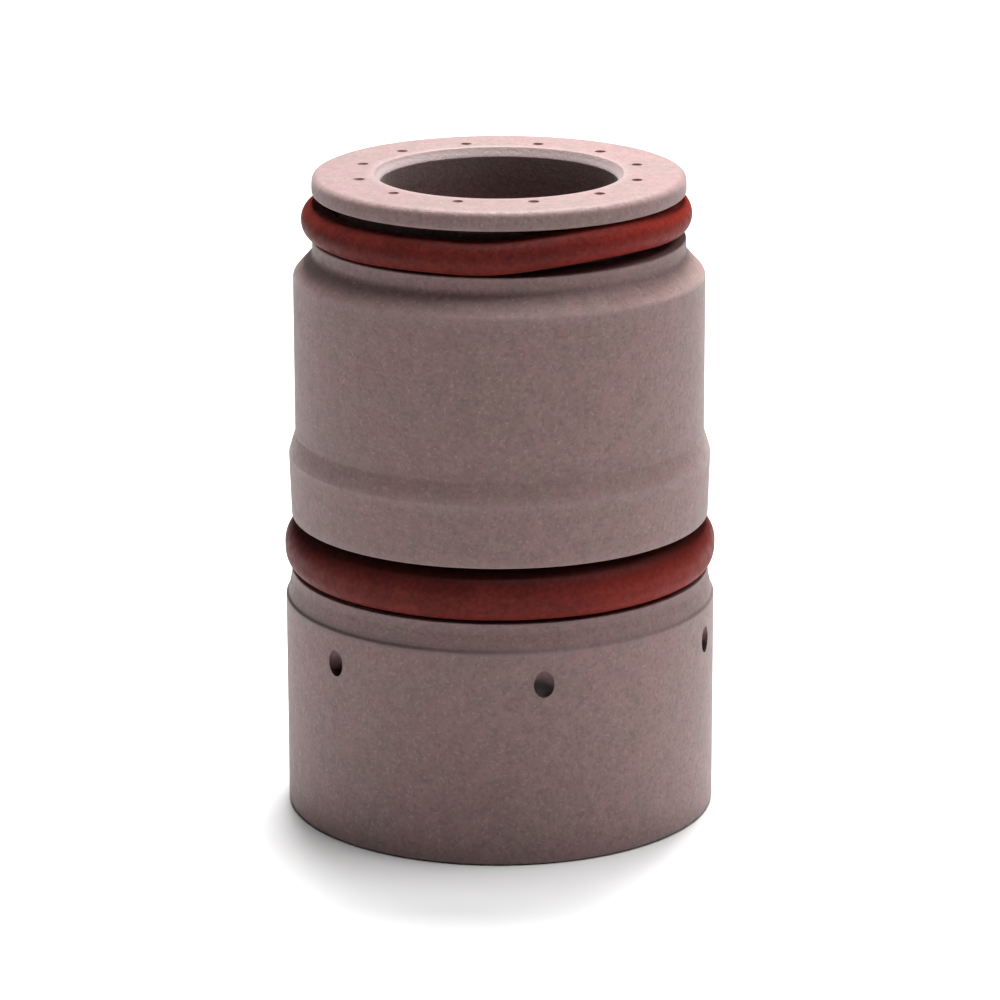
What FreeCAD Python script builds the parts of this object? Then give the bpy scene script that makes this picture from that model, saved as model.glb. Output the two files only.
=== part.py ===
"""Plasma swirl ring: a turned ceramic sleeve with two rubber seal rings seated in its grooves.

The frame has +Z along the sleeve's axis, from its wide rear end to its nose, and the origin at the
centre of the rear end face. Lengths are in millimetres and angles in degrees.
"""
import FreeCAD, Part
import os
import re

import Sketcher

SIZES = {
    # Radii, each one set off from the one before it by a wall or a step.
    "nose_bore_radius": 6.05,
    "bore_step": 1.65,
    "nose_groove_wall": 0.46,
    "nose_groove_depth": 1.36,
    "shoulder_step": 1.00,
    "band_step": 0.34,
    "band_taper": 0.11,
    "land_step": 0.06,
    "wide_step": 0.29,
    "rear_groove_wall": 0.80,
    "rear_chamber_wall": 2.10,
    # Heights, stacked from the rear end to the nose.
    "wide_height": 11.20,
    "wide_cone_height": 0.75,
    "rear_land_height": 0.72,
    "band_height": 3.26,
    "band_cone_height": 1.10,
    "main_height": 8.28,
    "shoulder_height": 1.10,
    "nose_land_height": 0.77,
    "flange_height": 1.00,
    # Depths of the bores.
    "nose_web": 6.00,
    "chamber_roof": 1.87,
    # Seal rings, as fitted: the thickness of each cord, the play in its groove, and the side on
    # which the nose seal has slipped down, as an angle from +X.
    "nose_seal_section": 1.78,
    "nose_groove_play": 0.50,
    "nose_seal_low_side": 215.0,
    "rear_seal_section": 2.62,
    "rear_groove_play": 0.22,
    "seal_clearance": 0.02,
    # Ports through the wide part's wall, drilled towards the rear end as they go in.
    "port_count": 6,
    "port_diameter": 1.05,
    "port_drop": 1.65,
    "port_slant": 41.5,
    "port_turn": 41.4,
    # Gas holes through the nose, leaning along the circle that they stand on.
    "gas_hole_count": 12,
    "gas_hole_diameter": 0.55,
    "gas_hole_edge": 0.46,
    "gas_hole_lean": 12.0,
    "gas_hole_turn": 13.6,
    # Rounded and broken edges.
    "rim_round": 0.45,
    "shoulder_round": 0.45,
    "shoulder_hollow": 0.50,
    "flange_break": 0.10,
    "groove_break": 0.08,
    "base_break": 0.20,
    "nose_mouth_break": 0.28,
    "nose_mouth_depth": 0.48,
    "rear_mouth_break": 0.30,
    "drill_overrun": 0.50,
}

# Radii, from the bore outwards.
INNER_BORE = "(nose_bore_radius + bore_step)"
NOSE_ROOT = f"({INNER_BORE} + nose_groove_wall)"
NOSE = f"({NOSE_ROOT} + nose_groove_depth)"
MAIN = f"({NOSE} + shoulder_step)"
BAND_TOP = f"({MAIN} + band_step)"
BAND_FOOT = f"({BAND_TOP} - band_taper)"
LAND = f"({BAND_FOOT} + land_step)"
WIDE = f"({LAND} + wide_step)"
REAR_ROOT = f"({INNER_BORE} + rear_groove_wall)"
CHAMBER = f"({WIDE} - rear_chamber_wall)"
HOLE_CIRCLE = f"({INNER_BORE} - gas_hole_edge)"

# Heights above the rear end face.
WIDE_TOP = "wide_height"
LAND_FOOT = f"({WIDE_TOP} + wide_cone_height)"
REAR_GROOVE_FOOT = f"({LAND_FOOT} + rear_land_height)"
REAR_GROOVE_TOP = f"({REAR_GROOVE_FOOT} + rear_seal_section + rear_groove_play)"
BAND_TOP_HEIGHT = f"({REAR_GROOVE_TOP} + band_height)"
MAIN_FOOT = f"({BAND_TOP_HEIGHT} + band_cone_height)"
MAIN_TOP = f"({MAIN_FOOT} + main_height)"
SHOULDER_TOP = f"({MAIN_TOP} + shoulder_height)"
NOSE_GROOVE_FOOT = f"({SHOULDER_TOP} + nose_land_height)"
NOSE_GROOVE_TOP = f"({NOSE_GROOVE_FOOT} + nose_seal_section + nose_groove_play)"
TOP = f"({NOSE_GROOVE_TOP} + flange_height)"
CHAMBER_TOP = f"({REAR_GROOVE_FOOT} - chamber_roof)"
INNER_BORE_TOP = f"({TOP} - nose_web)"
PORT_HEIGHT = f"({WIDE_TOP} - port_drop)"

os.makedirs("parts", exist_ok=True)
doc = FreeCAD.newDocument("swirl_ring")

# A sketch on an upright plane has the body's axis as its second direction.
UP_IN_SKETCH = FreeCAD.Vector(0, 1, 0)


def make_sheet():
    """The spreadsheet of driving sizes: each name in column A, its value and alias in column B."""
    sheet = doc.addObject("Spreadsheet::Sheet", "sizes")
    for row, (name, value) in enumerate(SIZES.items(), start=1):
        sheet.set(f"A{row}", name)
        sheet.set(f"B{row}", str(value))
        sheet.setAlias(f"B{row}", name)
    doc.recompute()
    return sheet


sheet = make_sheet()


def linked(formula):
    """The formula with each size's name pointed at its cell in the sheet."""
    return re.sub("[a-z_]+", lambda word: f"sizes.{word[0]}" if word[0] in SIZES else word[0], str(formula))


def value(formula):
    """The number that a formula gives for the sheet as it stands."""
    return float(sheet.evalExpression(linked(formula)))


def bind(item, prop, formula):
    """Tie a property of an object to a formula of named sizes."""
    item.setExpression(prop, linked(formula))


def new_body(label):
    """An empty body, named after the piece that it becomes."""
    body = doc.addObject("PartDesign::Body", label)
    body.Label = label
    return body


def new_sketch(body, name, plane):
    """An empty sketch on one of the body's own origin planes."""
    sketch = body.newObject("Sketcher::SketchObject", name)
    origin_plane = next(item for item in body.Origin.OriginFeatures if item.Role == plane)
    sketch.AttachmentSupport = [(origin_plane, "")]
    sketch.MapMode = "FlatFace"
    return sketch


def set_distance(sketch, kind, geometry, point, name, formula):
    """Hold a point at a distance from the sketch's origin, or on its axis where the formula is 0."""
    if str(formula) == "0":
        axis = -2 if kind == "DistanceX" else -1
        sketch.addConstraint(Sketcher.Constraint("PointOnObject", geometry, point, axis))
        return
    index = sketch.addConstraint(Sketcher.Constraint(kind, -1, 1, geometry, point, value(formula)))
    sketch.renameConstraint(index, name)
    bind(sketch, f".Constraints.{name}", formula)


def draw_outline(sketch, corners):
    """A closed outline of straight lines through corners given as pairs of formulas."""
    points = [FreeCAD.Vector(value(across), value(up), 0) for across, up in corners]
    for start, end in zip(points, points[1:] + points[:1]):
        sketch.addGeometry(Part.LineSegment(start, end), False)
    for index, (across, up) in enumerate(corners):
        following = (index + 1) % len(corners)
        sketch.addConstraint(Sketcher.Constraint("Coincident", index, 2, following, 1))
        set_distance(sketch, "DistanceX", index, 1, f"across_{index}", across)
        set_distance(sketch, "DistanceY", index, 1, f"up_{index}", up)


def draw_circle(sketch, radius, across="0"):
    """A circle of a named radius, with its centre on the sketch's first axis."""
    centre = FreeCAD.Vector(value(across), 0, 0)
    sketch.addGeometry(Part.Circle(centre, FreeCAD.Vector(0, 0, 1), value(radius)), False)
    index = sketch.addConstraint(Sketcher.Constraint("Radius", 0, value(radius)))
    sketch.renameConstraint(index, "radius")
    bind(sketch, ".Constraints.radius", radius)
    set_distance(sketch, "DistanceX", 0, 3, "across", across)
    set_distance(sketch, "DistanceY", 0, 3, "up", "0")


def turn(body, kind, name, sketch, axis):
    """Turn a sketch through a full circle about an axis, as added or as removed material."""
    feature = body.newObject(kind, name)
    feature.Profile = sketch
    feature.ReferenceAxis = axis
    feature.Angle = 360.0
    sketch.Visibility = False
    doc.recompute()
    return feature


def bore(body, name, radius, depth):
    """A round hole on the axis, from the rear end face to a named depth."""
    sketch = new_sketch(body, f"{name}_circle", "XY_Plane")
    draw_circle(sketch, radius)
    pocket = body.newObject("PartDesign::Pocket", name)
    pocket.Profile = sketch
    pocket.Reversed = True
    bind(pocket, "Length", depth)
    doc.recompute()
    return pocket


def seal_groove(body, name, root, outside, foot, top):
    """A square groove round the outside, for a seal ring."""
    sketch = new_sketch(body, f"{name}_section", "XZ_Plane")
    draw_outline(sketch, [(root, foot), (outside, foot), (outside, top), (root, top)])
    return turn(body, "PartDesign::Groove", name, sketch, (sketch, ["V_Axis"]))


def rims(feature, *places):
    """The names of a feature's round edges about Z that lie at the given radii and heights."""
    wanted = [(value(radius), value(height)) for radius, height in places]
    names = []
    for index, edge in enumerate(feature.Shape.Edges, start=1):
        curve = edge.Curve
        if not isinstance(curve, Part.Circle) or abs(curve.Center.x) + abs(curve.Center.y) > 1e-6:
            continue
        if any(abs(curve.Radius - r) + abs(curve.Center.z - z) < 1e-4 for r, z in wanted):
            names.append(f"Edge{index}")
    if len(names) != len(wanted):
        raise RuntimeError(f"{feature.Name}: {len(names)} of {len(wanted)} edges were found")
    return names


def dress(body, kind, name, places, sizes):
    """A fillet or chamfer on round edges of the body's tip, with its sizes tied to the sheet."""
    base = body.Tip
    feature = body.newObject(kind, name)
    feature.Base = (base, rims(base, *places))
    for prop, formula in sizes.items():
        bind(feature, prop, formula)
    doc.recompute()
    return feature


def drill(body, name, diameter, mouth, heading, reach, turned, stand_off):
    """One slanted drilling: a slim rectangle turned about its long side, the drill's axis.

    It lies in an upright plane that stands stand_off from the body's axis and is turned about it.
    The drill passes through the point mouth of that plane and ends reach beyond it. Its heading is
    an angle from the plane's level direction.
    """
    sketch = new_sketch(body, f"{name}_section", "XZ_Plane")
    sketch.AttachmentOffset = FreeCAD.Placement(FreeCAD.Vector(), FreeCAD.Rotation(UP_IN_SKETCH, 1))
    bind(sketch, ".AttachmentOffset.Rotation.Angle", turned)
    bind(sketch, ".AttachmentOffset.Base.x", f"{stand_off} * sin({turned})")
    bind(sketch, ".AttachmentOffset.Base.z", f"{stand_off} * cos({turned})")
    across, up = mouth
    start, radius = "(0 - drill_overrun)", f"({diameter} / 2)"
    draw_outline(sketch, [
        (f"{across} + {along} * cos({heading}) - {aside} * sin({heading})",
         f"{up} + {along} * sin({heading}) + {aside} * cos({heading})")
        for along, aside in ((start, 0), (reach, 0), (reach, radius), (start, radius))])
    return turn(body, "PartDesign::Groove", name, sketch, (sketch, ["Edge1"]))


def ring_pattern(body, name, original, count):
    """Copies of a feature, evenly spaced round the axis of the body."""
    pattern = body.newObject("PartDesign::PolarPattern", name)
    axis = next(item for item in body.Origin.OriginFeatures if item.Role == "Z_Axis")
    pattern.Originals = [original]
    pattern.Axis = (axis, [""])
    pattern.Angle = 360.0
    bind(pattern, "Occurrences", count)
    body.Tip = pattern
    doc.recompute()
    return pattern


def make_sleeve():
    """The ceramic sleeve: turned outside, grooved, bored, edges broken, then drilled."""
    body = new_body("swirl_ring_body")
    blank = new_sketch(body, "outer_profile", "XZ_Plane")
    draw_outline(blank, [
        ("0", "0"), (WIDE, "0"), (WIDE, WIDE_TOP), (LAND, LAND_FOOT), (LAND, REAR_GROOVE_FOOT),
        (BAND_FOOT, REAR_GROOVE_TOP), (BAND_TOP, BAND_TOP_HEIGHT), (MAIN, MAIN_FOOT), (MAIN, MAIN_TOP),
        (NOSE, SHOULDER_TOP), (NOSE, TOP), ("0", TOP)])
    turn(body, "PartDesign::Revolution", "turned_blank", blank, (blank, ["V_Axis"]))
    seal_groove(body, "rear_groove", REAR_ROOT, WIDE, REAR_GROOVE_FOOT, REAR_GROOVE_TOP)
    seal_groove(body, "nose_groove", NOSE_ROOT, MAIN, NOSE_GROOVE_FOOT, NOSE_GROOVE_TOP)
    bore(body, "rear_chamber", CHAMBER, CHAMBER_TOP)
    bore(body, "inner_bore", INNER_BORE, INNER_BORE_TOP)
    bore(body, "nose_bore", "nose_bore_radius", TOP)
    dress(body, "PartDesign::Fillet", "rim_rounding", [(NOSE, TOP)], {"Radius": "rim_round"})
    dress(body, "PartDesign::Fillet", "shoulder_rounding", [(MAIN, MAIN_TOP)], {"Radius": "shoulder_round"})
    dress(body, "PartDesign::Fillet", "shoulder_hollowing", [(NOSE, SHOULDER_TOP)],
          {"Radius": "shoulder_hollow"})
    dress(body, "PartDesign::Chamfer", "base_edge", [(WIDE, "0")], {"Size": "base_break"})
    dress(body, "PartDesign::Chamfer", "flange_edge", [(NOSE, NOSE_GROOVE_TOP)], {"Size": "flange_break"})
    dress(body, "PartDesign::Chamfer", "groove_lips",
          [(NOSE, NOSE_GROOVE_FOOT), (BAND_FOOT, REAR_GROOVE_TOP), (LAND, REAR_GROOVE_FOOT)],
          {"Size": "groove_break"})
    mouth = dress(body, "PartDesign::Chamfer", "nose_mouth", [("nose_bore_radius", TOP)],
                  {"Size": "nose_mouth_break", "Size2": "nose_mouth_depth"})
    mouth.ChamferType = "Two distances"
    dress(body, "PartDesign::Chamfer", "rear_mouths", [(CHAMBER, "0"), (INNER_BORE, CHAMBER_TOP)],
          {"Size": "rear_mouth_break"})
    port = drill(body, "port", "port_diameter", (WIDE, PORT_HEIGHT), "(180 + port_slant)",
                 "((rear_chamber_wall + port_diameter) / cos(port_slant))", "port_turn", 0)
    ring_pattern(body, "ports", port, "port_count")
    gas_hole = drill(body, "gas_hole", "gas_hole_diameter", (0, TOP), "(gas_hole_lean - 90)",
                     "(nose_web / cos(gas_hole_lean) + gas_hole_diameter)", "gas_hole_turn", HOLE_CIRCLE)
    ring_pattern(body, "gas_holes", gas_hole, "gas_hole_count")
    return body


def make_seal(label, root, section, height, tilt, low_side):
    """A rubber ring of round section, fitted on a groove's root and tipped down on its low side."""
    body = new_body(label)
    sketch = new_sketch(body, "cord_section", "XZ_Plane")
    draw_circle(sketch, f"({section} / 2)", f"{root} + seal_clearance + {section} / 2")
    turn(body, "PartDesign::Revolution", "moulded_ring", sketch, (sketch, ["V_Axis"]))
    body.Placement = FreeCAD.Placement(FreeCAD.Vector(), FreeCAD.Rotation(FreeCAD.Vector(0, 1, 0), 1))
    bind(body, ".Placement.Base.z", height)
    bind(body, ".Placement.Rotation.Axis.x", f"-1 * sin({low_side})")
    bind(body, ".Placement.Rotation.Axis.y", f"cos({low_side})")
    bind(body, ".Placement.Rotation.Angle", tilt)
    return body


def check_model():
    """Stop with a message if any object failed or any piece has no sound shape."""
    for item in doc.Objects:
        if {"Invalid", "Error"} & set(item.State):
            raise RuntimeError(f"{item.Name} failed: {item.State}")
    for piece in pieces:
        if piece.Shape.isNull() or not piece.Shape.isValid() or len(piece.Shape.Solids) != 1:
            raise RuntimeError(f"{piece.Label} is not one sound solid")


# The nose seal sits as far askew as the play in its groove lets it.
NOSE_SEAL_CENTRE = f"({NOSE_ROOT} + seal_clearance + nose_seal_section / 2)"
NOSE_SEAL_TILT = f"asin((nose_groove_play / 2 - seal_clearance) / {NOSE_SEAL_CENTRE})"

pieces = [
    make_sleeve(),
    make_seal("nose_seal_ring", NOSE_ROOT, "nose_seal_section",
              f"({NOSE_GROOVE_FOOT} + {NOSE_GROOVE_TOP}) / 2", NOSE_SEAL_TILT, "nose_seal_low_side"),
    make_seal("rear_seal_ring", REAR_ROOT, "rear_seal_section",
              f"({REAR_GROOVE_FOOT} + {REAR_GROOVE_TOP}) / 2", "0", "0"),
]
doc.recompute()
check_model()
for piece in pieces:
    piece.Shape.exportStep(f"parts/{piece.Label}.step")
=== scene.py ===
"""Looks for the plasma swirl ring: a fired ceramic sleeve with two red rubber seal rings.

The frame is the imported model's: metres, +Z along the sleeve from its wide rear end to its nose.
Sizes below are in millimetres, and MM turns them into metres.
"""
import math

import bmesh
import bpy
from mathutils import Matrix, Vector, noise


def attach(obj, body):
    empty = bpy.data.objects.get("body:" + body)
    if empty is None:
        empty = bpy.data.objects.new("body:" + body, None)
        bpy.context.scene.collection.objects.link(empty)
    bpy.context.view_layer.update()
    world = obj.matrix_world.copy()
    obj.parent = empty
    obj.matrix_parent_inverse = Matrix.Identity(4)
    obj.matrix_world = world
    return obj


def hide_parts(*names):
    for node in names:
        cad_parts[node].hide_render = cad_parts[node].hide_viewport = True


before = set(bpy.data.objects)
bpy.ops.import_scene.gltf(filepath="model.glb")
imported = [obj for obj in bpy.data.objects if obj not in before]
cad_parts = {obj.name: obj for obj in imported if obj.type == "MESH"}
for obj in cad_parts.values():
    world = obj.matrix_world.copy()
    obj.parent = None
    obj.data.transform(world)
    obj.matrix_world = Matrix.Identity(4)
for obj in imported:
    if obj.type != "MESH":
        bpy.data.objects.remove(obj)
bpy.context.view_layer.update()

MM = 0.001

# Sleeve radii.
NOSE_BORE, INNER_BORE, CHAMBER = 6.05, 7.70, 9.00
NOSE_ROOT, NOSE = 8.16, 9.52
MAIN = 10.52
BAND_TOP, BAND_FOOT = 10.86, 10.75
LAND, SEAM, WIDE = 10.81, 10.98, 11.10
REAR_ROOT = 8.50

# Sleeve heights above the rear end face.
WIDE_TOP, LAND_FOOT = 11.20, 11.95
REAR_GROOVE = (12.67, 15.51)
BAND_TOP_HEIGHT, MAIN_FOOT = 18.77, 19.87
MAIN_TOP, SHOULDER_TOP = 28.15, 29.25
NOSE_GROOVE = (30.02, 32.30)
TOP = 33.30
CHAMBER_TOP, INNER_BORE_TOP = 10.80, 27.30

# Ports and gas holes: the slant, lean and turn are degrees. Each drill starts a little outside the
# wall ("back") and is long enough to come out behind it.
PORTS = {"count": 6, "radius": 0.525, "height": 9.55, "slant": 41.5, "turn": 41.4,
         "back": 1.2, "length": 4.6, "sides": 40}
GAS_HOLES = {"count": 12, "radius": 0.275, "circle": 7.24, "lean": 12.0, "turn": 13.6,
             "back": 0.5, "length": 7.2, "sides": 24}

# Seal rings: radius of the cord and of its centre line, the groove's root, height, the drop on the
# low side and its azimuth, how far the ring has slid sideways, where it lifts or dips (azimuth,
# lift, spread in degrees), how much painted shade its upper side gets, and how square its own
# weight makes the lower outer quarter of the cord (2 is round).
NOSE_SEAL = {"cord": 0.89, "centre": 9.07, "root": NOSE_ROOT, "height": 31.16, "drop": 0.23,
             "low_side": 215.0, "slide": (-0.13, -0.02),
             "bends": [(306, 0.24, 24), (267, -0.11, 13), (0, -0.14, 20)], "upper_shade": 0.0, "square": 2.0}
REAR_SEAL = {"cord": 1.31, "centre": 9.83, "root": REAR_ROOT, "height": 13.985, "drop": 0.0,
             "low_side": 0.0, "slide": (0.0, 0.0), "bends": [], "upper_shade": 1.0, "square": 2.8}

# How far wear spreads from an outer corner, painted shade from an inner one, painted light from the
# bevel and painted shade from the seam.
WEAR_REACH, CORNER_SHADE_REACH, BEVEL_LIGHT_REACH, SEAM_SHADE_REACH = 0.26, 0.50, 0.24, 0.22

# Tones kept on each section point; all but wear are painted light or painted shade.
SECTION_TONES = ("wear", "corner_shade", "bevel_light", "seam_shade", "face", "inside")

# Steps round the sleeve, round a seal ring and round its cord, and the sharpest smooth edge.
SLEEVE_TURNS = 272
SEAL_TURNS = 288
CORD_TURNS = 56
SMOOTH_BELOW = math.radians(38)

# How much thinner than nominal a cord is, and how uneven.
CORD_TRIM, CORD_UNEVEN = 0.014, 0.012


# Sleeve mesh

def sleeve_corners():
    """Corners of the sleeve's section: radius, height, rounding and the longest step up to it."""
    fine, coarse = 0.45, 1.6
    return [
        (CHAMBER + 0.30, 0.0, 0.05, coarse),
        (WIDE, 0.0, 0.25, fine),
        (WIDE, WIDE_TOP, 0.10, 0.12),
        (SEAM, WIDE_TOP + 0.12, 0.10, 0.06),
        (LAND, LAND_FOOT + 0.20, 0.60, 0.12),
        (LAND - 0.04, REAR_GROOVE[0], 0.08, fine),
        (REAR_ROOT, REAR_GROOVE[0], 0.12, fine),
        (REAR_ROOT, REAR_GROOVE[1], 0.12, fine),
        (BAND_FOOT, REAR_GROOVE[1], 0.10, fine),
        (BAND_TOP, BAND_TOP_HEIGHT, 0.40, fine),
        (MAIN, MAIN_FOOT, 0.60, fine),
        (MAIN, MAIN_TOP, 0.45, fine),
        (NOSE, SHOULDER_TOP, 0.50, fine),
        (NOSE, NOSE_GROOVE[0], 0.10, fine),
        (NOSE_ROOT, NOSE_GROOVE[0], 0.12, fine),
        (NOSE_ROOT, NOSE_GROOVE[1], 0.12, fine),
        (NOSE, NOSE_GROOVE[1], 0.20, fine),
        (NOSE, TOP, 0.45, fine),
        (NOSE_BORE + 0.28, TOP, 0.12, fine),
        (NOSE_BORE, TOP - 0.48, 0.15, 0.12),
        (NOSE_BORE, INNER_BORE_TOP, 0.10, coarse),
        (INNER_BORE, INNER_BORE_TOP, 0.15, coarse),
        (INNER_BORE, CHAMBER_TOP + 0.30, 0.05, coarse),
        (INNER_BORE + 0.30, CHAMBER_TOP, 0.05, coarse),
        (CHAMBER, CHAMBER_TOP, 0.20, coarse),
        (CHAMBER, 0.30, 0.05, coarse),
    ]


def near_corners(place, corners, spread):
    """How near a point of the section is to any of some corners: 1 on one, soon 0 away from it."""
    return min(1.0, sum(math.exp(-((place - corner).length / spread) ** 2) for corner in corners))


def rounded_section(corners, arc_steps=5):
    """Points round the section, with each corner as an arc and each straight run split evenly.

    Each point is its radius and height, then its tones: wear, 1 on an outer corner; painted shade in an
    inner corner; painted light on the nose bore's bevel; painted shade in the fine seam above the wide
    part; a painted sheen on the nose face; and painted shade on the nose bore's wall.
    """
    arcs, outer, inner = [], [], []
    for index, (radius, height, rounding, step) in enumerate(corners):
        here = Vector((radius, height))
        before = Vector(corners[index - 1][:2]) - here
        after = Vector(corners[(index + 1) % len(corners)][:2]) - here
        turned = before.angle(after)
        reach = min(rounding / math.tan(turned / 2), 0.45 * before.length, 0.45 * after.length)
        start, end = here + before.normalized() * reach, here + after.normalized() * reach
        (outer if before.cross(after) < 0 else inner).append(here)
        arcs.append(([start.lerp(here, t).lerp(here.lerp(end, t), t)
                      for t in (i / arc_steps for i in range(arc_steps + 1))], step))
    places = []
    for index, (arc, step) in enumerate(arcs):
        last = arcs[index - 1][0][-1]
        run = arc[0] - last
        pieces = max(1, math.ceil(run.length / step))
        places += [last + run * i / pieces for i in range(1, pieces)] + arc
    bevel_light, seam_shade = [Vector((NOSE_BORE + 0.12, TOP - 0.27))], [Vector((SEAM + 0.04, WIDE_TOP + 0.08))]
    return [(*place, near_corners(place, outer, WEAR_REACH), near_corners(place, inner, CORNER_SHADE_REACH),
             near_corners(place, bevel_light, BEVEL_LIGHT_REACH), near_corners(place, seam_shade, SEAM_SHADE_REACH),
             float(place.y > TOP - 0.02), float(place.x < NOSE_BORE + 0.01)) for place in places]


def lathe(name, section, turns):
    """A closed mesh turned about Z from a closed section, with the section's tones on each point."""
    mesh = bpy.data.meshes.new(name)
    count = len(section)
    verts, faces = [], []
    for turn in range(turns):
        angle = 2 * math.pi * turn / turns
        for radius, height, *_ in section:
            verts.append((radius * MM * math.cos(angle), radius * MM * math.sin(angle), height * MM))
    for turn in range(turns):
        here, after = turn * count, ((turn + 1) % turns) * count
        for i in range(count):
            k = (i + 1) % count
            faces.append((here + i, after + i, after + k, here + k))
    mesh.from_pydata(verts, [], faces)
    for column, title in enumerate(SECTION_TONES, start=2):
        attribute = mesh.attributes.new(title, "FLOAT", "POINT")
        attribute.data.foreach_set("value", [point[column] for point in section] * turns)
    mesh.update()
    return mesh


def add_object(name, mesh):
    piece = bpy.data.objects.new(name, mesh)
    bpy.context.scene.collection.objects.link(piece)
    return piece


def drill_mesh(name):
    """All the drills as one mesh: slim closed cylinders where the ports and gas holes go."""
    tool = bmesh.new()

    def add_drills(holes, mouth, heading):
        """Drills spaced evenly round the axis, given where the first opens and the way it goes."""
        for i in range(holes["count"]):
            spin = Matrix.Rotation(math.radians(holes["turn"] + 360 * i / holes["count"]), 3, "Z")
            way = spin @ Vector(heading)
            start = spin @ Vector(mouth) - way * holes["back"]
            end = start + way * holes["length"]
            turned = way.to_track_quat("Z", "Y").to_matrix().to_4x4()
            bmesh.ops.create_cone(tool, cap_ends=True, segments=holes["sides"],
                                  radius1=holes["radius"] * MM, radius2=holes["radius"] * MM,
                                  depth=holes["length"] * MM,
                                  matrix=Matrix.Translation((start + end) / 2 * MM) @ turned)

    slant, lean = math.radians(PORTS["slant"]), math.radians(GAS_HOLES["lean"])
    add_drills(PORTS, (WIDE, 0, PORTS["height"]), (-math.cos(slant), 0, -math.sin(slant)))
    add_drills(GAS_HOLES, (GAS_HOLES["circle"], 0, TOP), (0, math.sin(lean), -math.cos(lean)))
    mesh = bpy.data.meshes.new(name)
    tool.to_mesh(mesh)
    tool.free()
    return mesh


def make_sleeve():
    """The ceramic sleeve: a turned mesh with its ports and gas holes cut through."""
    section = rounded_section(sleeve_corners())
    sleeve = add_object("ceramic_sleeve", lathe("ceramic_sleeve", section, SLEEVE_TURNS))
    drills = add_object("drills", drill_mesh("drills"))
    cut = sleeve.modifiers.new("cut", "BOOLEAN")
    cut.operation = "DIFFERENCE"
    cut.solver = "EXACT"
    cut.object = drills
    depsgraph = bpy.context.evaluated_depsgraph_get()
    sleeve.data = bpy.data.meshes.new_from_object(sleeve.evaluated_get(depsgraph))
    sleeve.modifiers.clear()
    bpy.data.objects.remove(drills)
    mark_holes(sleeve.data)
    sleeve.data.shade_smooth()
    sleeve.data.set_sharp_from_angle(angle=SMOOTH_BELOW)
    return sleeve


def mark_holes(mesh):
    """Mark the faces inside the ports and the gas holes: no others lie within those walls."""
    ports, gas_holes = [], []
    for face in mesh.polygons:
        from_axis, height = math.hypot(face.center.x, face.center.y) / MM, face.center.z / MM
        ports.append(float(CHAMBER + 0.05 < from_axis < WIDE - 0.05
                           and 1.0 < height < WIDE_TOP - 0.5))
        gas_holes.append(float(NOSE_BORE + 0.5 < from_axis < NOSE_ROOT - 0.3
                               and INNER_BORE_TOP + 0.5 < height < TOP - 0.05))
    mesh.attributes.new("port", "FLOAT", "FACE").data.foreach_set("value", ports)
    mesh.attributes.new("gas_hole", "FLOAT", "FACE").data.foreach_set("value", gas_holes)


# Seal rings

def cord_height(seal, angle):
    """Height of the cord's middle at an azimuth: tipped to the low side, with soft lifts and dips."""
    degrees = math.degrees(angle)
    height = seal["height"] - seal["drop"] * math.cos(angle - math.radians(seal["low_side"]))
    for azimuth, lift, spread in seal["bends"]:
        off = (degrees - azimuth + 180) % 360 - 180
        height += lift * math.exp(-(off / spread) ** 2)
    return height


def make_seal(name, seal, seed):
    """A moulded rubber ring: a round cord, slightly uneven, squeezed flat where it meets the root."""
    mesh = bpy.data.meshes.new(name)
    slide = Vector((*seal["slide"], 0))
    verts, faces, upper_shade = [], [], []
    for turn in range(SEAL_TURNS):
        angle = 2 * math.pi * turn / SEAL_TURNS
        around = Vector((math.cos(angle), math.sin(angle), 0))
        middle = around * seal["centre"] + slide + Vector((0, 0, cord_height(seal, angle)))
        for step in range(CORD_TURNS):
            roll = 2 * math.pi * step / CORD_TURNS
            out, up = math.cos(roll), math.sin(roll)
            if out > 0 > up:
                out, up = out ** (2 / seal["square"]), -((-up) ** (2 / seal["square"]))
            side = around * out + Vector((0, 0, up))
            uneven = CORD_UNEVEN * noise.noise(around * 3.1 + side * 0.6 + Vector((seed, 0, 0)))
            place = middle + side * (seal["cord"] - CORD_TRIM + uneven)
            from_axis = math.hypot(place.x, place.y)
            squeeze = max(1.0, (seal["root"] + 0.01) / from_axis)
            verts.append(Vector((place.x * squeeze, place.y * squeeze, place.z)) * MM)
            # Painted shade, strongest on top of the cord.
            upper_shade.append(seal["upper_shade"] * min(1.0, max(0.0, math.sin(roll) / 0.9)) ** 1.3)
    for turn in range(SEAL_TURNS):
        here, after = turn * CORD_TURNS, ((turn + 1) % SEAL_TURNS) * CORD_TURNS
        for i in range(CORD_TURNS):
            k = (i + 1) % CORD_TURNS
            faces.append((here + i, after + i, after + k, here + k))
    mesh.from_pydata(verts, [], faces)
    mesh.attributes.new("upper_shade", "FLOAT", "POINT").data.foreach_set("value", upper_shade)
    mesh.update()
    mesh.shade_smooth()
    return add_object(name, mesh)


# Materials

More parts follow.
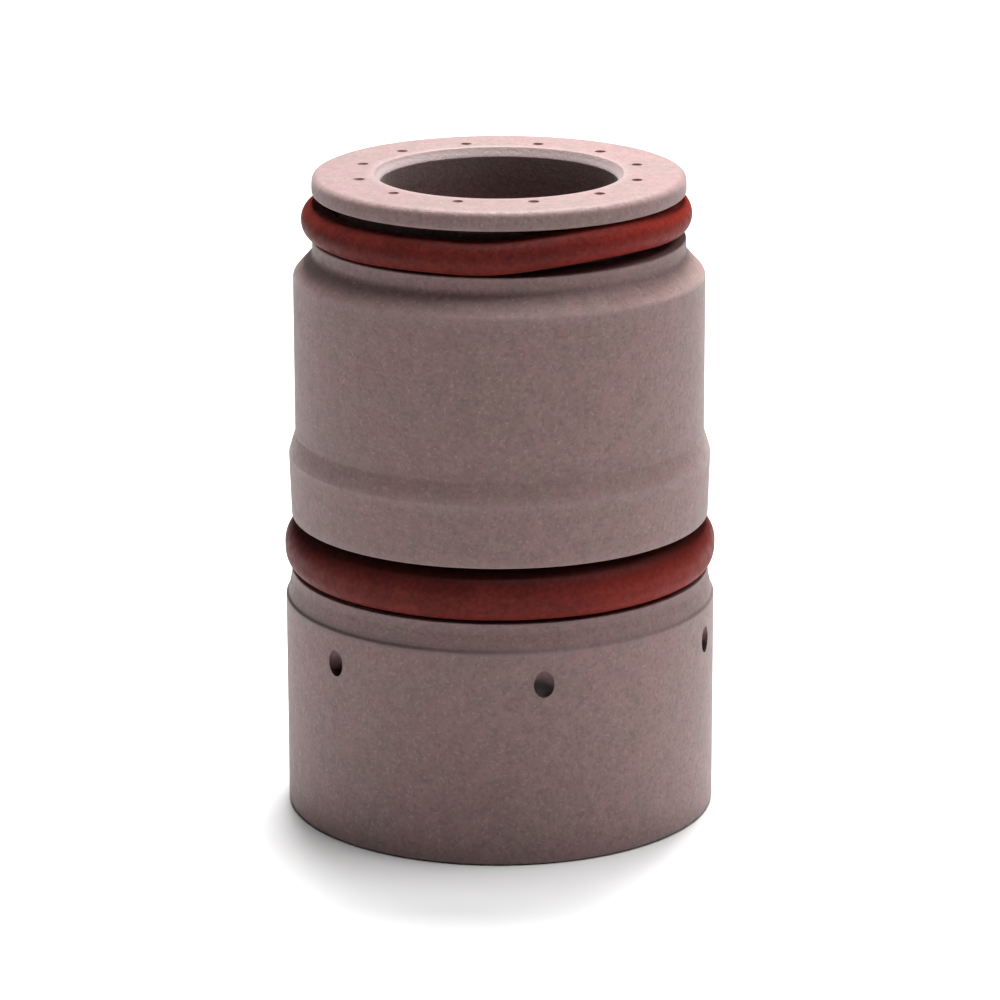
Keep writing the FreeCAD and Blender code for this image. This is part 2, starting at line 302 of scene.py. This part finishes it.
class Shader:
    """A material under construction: short calls that add nodes and link them."""

    def __init__(self, name):
        self.material = bpy.data.materials.new(name)
        self.material.use_nodes = True
        self.nodes = self.material.node_tree.nodes
        self.links = self.material.node_tree.links
        self.surface = self.nodes["Principled BSDF"]
        self.place = self.nodes.new("ShaderNodeTexCoord").outputs["Object"]

    def put(self, value, socket):
        """Link a socket to another one, or set it to a plain value."""
        if isinstance(value, bpy.types.NodeSocket):
            self.links.new(value, socket)
        else:
            socket.default_value = value

    def noise(self, per_mm, detail, rough, stretch=(1, 1, 1)):
        """Noise with about per_mm features in a millimetre."""
        spread = self.nodes.new("ShaderNodeMapping")
        spread.inputs["Scale"].default_value = stretch
        self.links.new(self.place, spread.inputs["Vector"])
        node = self.nodes.new("ShaderNodeTexNoise")
        self.links.new(spread.outputs["Vector"], node.inputs["Vector"])
        node.inputs["Scale"].default_value = per_mm / MM
        node.inputs["Detail"].default_value = detail
        node.inputs["Roughness"].default_value = rough
        return node.outputs["Fac"]

    def ramp(self, value, low, high, start=0.0, end=1.0):
        """A value taken from low..high to start..end, and held there outside it."""
        node = self.nodes.new("ShaderNodeMapRange")
        node.interpolation_type = "SMOOTHSTEP"
        limits = {"From Min": low, "From Max": high, "To Min": start, "To Max": end}
        for socket, number in limits.items():
            node.inputs[socket].default_value = number
        self.links.new(value, node.inputs["Value"])
        return node.outputs["Result"]

    def across(self, direction, low_mm, high_mm, start=0.0, end=1.0):
        """A value that goes from start to end along a direction through the piece."""
        node = self.nodes.new("ShaderNodeVectorMath")
        node.operation = "DOT_PRODUCT"
        self.links.new(self.place, node.inputs[0])
        node.inputs[1].default_value = direction
        return self.ramp(node.outputs["Value"], low_mm * MM, high_mm * MM, start, end)

    def from_axis(self, low_mm, high_mm, start=0.0, end=1.0):
        """A value that goes from start to end outwards from the Z axis."""
        flat = self.nodes.new("ShaderNodeVectorMath")
        flat.operation = "MULTIPLY"
        self.links.new(self.place, flat.inputs[0])
        flat.inputs[1].default_value = (1, 1, 0)
        node = self.nodes.new("ShaderNodeVectorMath")
        node.operation = "LENGTH"
        self.links.new(flat.outputs["Vector"], node.inputs[0])
        return self.ramp(node.outputs["Value"], low_mm * MM, high_mm * MM, start, end)

    def scale(self, colour, amount):
        node = self.nodes.new("ShaderNodeVectorMath")
        node.operation = "SCALE"
        self.put(colour, node.inputs[0])
        self.put(amount, node.inputs["Scale"])
        return node.outputs["Vector"]

    def mix(self, amount, first, second):
        node = self.nodes.new("ShaderNodeMix")
        node.data_type = "RGBA"
        self.put(amount, node.inputs[0])
        self.put(first, node.inputs[6])
        self.put(second, node.inputs[7])
        return node.outputs[2]

    def stain(self, colour, mask, amount, tone):
        """Bring a tone into a colour by a mask, and by no more than an amount."""
        return self.mix(self.math("MULTIPLY", mask, amount), colour, tone)

    def math(self, operation, *values):
        node = self.nodes.new("ShaderNodeMath")
        node.operation = operation
        for value, socket in zip(values, node.inputs):
            self.put(value, socket)
        return node.outputs[0]

    def attribute(self, name):
        node = self.nodes.new("ShaderNodeAttribute")
        node.attribute_name = name
        return node.outputs["Fac"]

    def bump(self, height, depth_mm, after=None):
        node = self.nodes.new("ShaderNodeBump")
        node.inputs["Strength"].default_value = 1.0
        node.inputs["Distance"].default_value = depth_mm * MM
        self.put(height, node.inputs["Height"])
        if after is not None:
            self.links.new(after, node.inputs["Normal"])
        return node.outputs["Normal"]


def rgb(red, green, blue):
    return (red, green, blue, 1.0)


def ceramic_material():
    """Matte fired ceramic: pinkish grey, faintly mottled, with a fine dark and light grain.

    Paler where it is worn. Painted light makes it paler towards the right and back, on the nose face
    (a painted sheen), on the bore's bevel and on the gas holes' walls; painted shade makes it darker
    in corners, along the seam, on the nose bore's wall and in the mouths of the ports.
    """
    shader = Shader("fired_ceramic")
    pink, olive, base = rgb(0.258, 0.152, 0.150), rgb(0.226, 0.158, 0.142), rgb(0.242, 0.154, 0.144)
    # Painted shade: the dark tone for the inner corners, the seam and the nose bore's wall.
    painted_shade = rgb(0.088, 0.058, 0.058)
    mottle = shader.ramp(shader.noise(0.35, 3.0, 0.6), 0.40, 0.62)
    colour = shader.mix(0.45, shader.mix(mottle, pink, olive), base)
    clouds = shader.ramp(shader.noise(1.3, 4.0, 0.65), 0.38, 0.62, 0.94, 1.06)
    colour = shader.scale(colour, clouds)
    # Painted light: paler towards the right and back, standing in for light falling more strongly from
    # there.
    colour = shader.scale(colour, shader.across((0.9, 0.45, 0), -9.0, 9.0, 0.93, 1.09))
    dark_grain = shader.ramp(shader.noise(4.0, 5.0, 0.75), 0.46, 0.66)
    colour = shader.stain(colour, dark_grain, 0.52, rgb(0.132, 0.084, 0.078))
    light_grain = shader.ramp(shader.noise(5.0, 3.0, 0.7), 0.54, 0.72)
    colour = shader.stain(colour, light_grain, 0.55, rgb(0.36, 0.264, 0.256))
    rubbed = shader.ramp(shader.noise(1.6, 4.0, 0.65), 0.25, 0.8, 0.45, 1.0)
    worn = shader.math("MULTIPLY", shader.attribute("wear"), rubbed)
    colour = shader.stain(colour, worn, 0.22, rgb(0.40, 0.32, 0.312))
    # Painted sheen: the nose face paler, standing in for the glancing sheen of the overhead lights.
    colour = shader.stain(colour, shader.attribute("face"), 0.13, rgb(0.384, 0.312, 0.32))
    # Painted light: the nose bore's bevel much paler, standing in for the light it catches from above.
    colour = shader.stain(colour, shader.attribute("bevel_light"), 0.75, rgb(0.48, 0.392, 0.388))
    # Painted shade: darker in the inner corners, where shade falls.
    colour = shader.stain(colour, shader.attribute("corner_shade"), 0.10, painted_shade)
    # Painted shade along the seam step below the rear ring, fading towards the right, where the light
    # comes from.
    seam_shade_fade = shader.across((1, 0, 0), -8.0, 9.0, 0.62, 0.16)
    colour = shader.stain(colour, shader.attribute("seam_shade"), seam_shade_fade, painted_shade)
    # Painted shade on the nose bore's wall.
    colour = shader.stain(colour, shader.attribute("inside"), 0.28, painted_shade)
    # Painted shade in the ports, deepest towards their outer mouths.
    mouth = shader.from_axis(9.6, 11.1, 0.0, 0.74)
    colour = shader.stain(colour, shader.attribute("port"), mouth, rgb(0.115, 0.048, 0.056))
    # Painted light: the gas holes' walls made pale, standing in for light reaching into them.
    colour = shader.mix(shader.attribute("gas_hole"), colour, rgb(0.52, 0.33, 0.33))
    shader.put(colour, shader.surface.inputs["Base Color"])
    roughness = shader.ramp(shader.noise(2.4, 4.0, 0.6), 0.3, 0.7, 0.50, 0.64)
    shader.put(roughness, shader.surface.inputs["Roughness"])
    shader.surface.inputs["Specular IOR Level"].default_value = 0.24
    shader.surface.inputs["Sheen Weight"].default_value = 0.13
    shader.surface.inputs["Sheen Roughness"].default_value = 0.5
    grain = shader.bump(shader.noise(6.0, 4.0, 0.65), 0.030)
    tooling = shader.noise(5.0, 2.0, 0.5, stretch=(0.02, 0.02, 1.0))
    shader.put(shader.bump(tooling, 0.008, grain), shader.surface.inputs["Normal"])
    return shader.material


def rubber_material():
    """Brick-red silicone rubber: cloudy, finely grained and dusty, with painted light to the right and
    painted shade above.
    """
    shader = Shader("seal_rubber")
    cloud = shader.ramp(shader.noise(0.5, 4.0, 0.6), 0.35, 0.65)
    colour = shader.mix(cloud, rgb(0.090, 0.0128, 0.0104), rgb(0.118, 0.0164, 0.0128))
    # Painted light: brighter and redder towards the right, where the light falls.
    right_light = shader.across((1, 0, 0), 0.5, 9.0, 0.0, 0.9)
    colour = shader.mix(right_light, colour, rgb(0.190, 0.0184, 0.0124))
    grain = shader.ramp(shader.noise(4.0, 4.0, 0.75), 0.34, 0.66, 0.80, 1.20)
    colour = shader.scale(colour, grain)
    dust = shader.ramp(shader.noise(6.5, 2.0, 0.5), 0.62, 0.80)
    colour = shader.stain(colour, dust, 0.14, rgb(0.27, 0.088, 0.072))
    # Painted shade on the rear ring's upper side, under the band that overhangs it.
    colour = shader.stain(colour, shader.attribute("upper_shade"), 0.75, rgb(0.018, 0.005, 0.005))
    shader.put(colour, shader.surface.inputs["Base Color"])
    roughness = shader.ramp(shader.noise(1.8, 4.0, 0.6), 0.3, 0.7, 0.45, 0.60)
    shader.put(roughness, shader.surface.inputs["Roughness"])
    shader.surface.inputs["Specular IOR Level"].default_value = 0.07
    shader.put(shader.bump(shader.noise(5.0, 3.0, 0.6), 0.012), shader.surface.inputs["Normal"])
    return shader.material


def floor_material():
    """Pale matte paper."""
    shader = Shader("pale_floor")
    tone = shader.ramp(shader.noise(0.05, 3.0, 0.5), 0.3, 0.7)
    colour = shader.mix(tone, rgb(0.66, 0.66, 0.66), rgb(0.69, 0.69, 0.69))
    shader.put(colour, shader.surface.inputs["Base Color"])
    shader.surface.inputs["Roughness"].default_value = 0.9
    return shader.material


# Stage

def make_floor():
    half = 0.9
    mesh = bpy.data.meshes.new("floor")
    corners = [(-half, -half, 0), (half, -half, 0), (half, half, 0), (-half, half, 0)]
    mesh.from_pydata(corners, [], [(0, 1, 2, 3)])
    floor = add_object("floor", mesh)
    floor.data.materials.append(floor_material())


def add_softbox(name, place, target, size, power):
    light = bpy.data.lights.new(name, "AREA")
    light.shape = "RECTANGLE"
    light.size, light.size_y = size
    light.energy = power
    lamp = bpy.data.objects.new(name, light)
    lamp.location = place
    lamp.rotation_euler = (Vector(target) - Vector(place)).to_track_quat("-Z", "Y").to_euler()
    bpy.context.scene.collection.objects.link(lamp)


def light_stage():
    """Two small softboxes overhead, one of them behind, and a faint fill from each side."""
    middle = (0, 0, 0.016)
    add_softbox("top_softbox", (0.02, 0.0, 0.45), middle, (0.14, 0.14), 1.80)
    add_softbox("back_softbox", (0.02, 0.16, 0.42), middle, (0.14, 0.14), 3.81)
    add_softbox("right_softbox", (0.26, 0.0, 0.36), middle, (0.20, 0.20), 0.60)
    add_softbox("left_softbox", (-0.42, 0.0, 0.14), middle, (0.25, 0.25), 0.075)
    world = bpy.data.worlds.new("soft_white")
    world.use_nodes = True
    world.node_tree.nodes["Background"].inputs["Color"].default_value = rgb(1, 1, 1)
    world.node_tree.nodes["Background"].inputs["Strength"].default_value = 0.0125
    bpy.context.scene.world = world
    bpy.context.scene.view_settings.view_transform = "Standard"


def add_camera():
    """The photograph's camera: 16 degrees down on the ring, on a long lens."""
    camera = bpy.data.cameras.new("camera")
    camera.sensor_width = 36.0
    camera.lens = 165.2
    camera.clip_start = 0.01
    holder = bpy.data.objects.new("camera", camera)
    holder.location = (0.00001, -0.22807, 0.08169)
    tilt = Matrix.Rotation(math.radians(73.93), 3, "X")
    roll = Matrix.Rotation(math.radians(-0.15), 3, "Z")
    holder.rotation_euler = (tilt @ roll).to_euler()
    bpy.context.scene.collection.objects.link(holder)
    bpy.context.scene.camera = holder


def dress(piece, node, material):
    """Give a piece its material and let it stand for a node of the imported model."""
    piece.data.materials.clear()
    piece.data.materials.append(material)
    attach(piece, "root")
    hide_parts(node)


dress(make_sleeve(), "swirl_ring_body", ceramic_material())
rubber = rubber_material()
dress(make_seal("nose_seal", NOSE_SEAL, 1.7), "nose_seal_ring", rubber)
dress(make_seal("rear_seal", REAR_SEAL, 8.3), "rear_seal_ring", rubber)
make_floor()
light_stage()
add_camera()
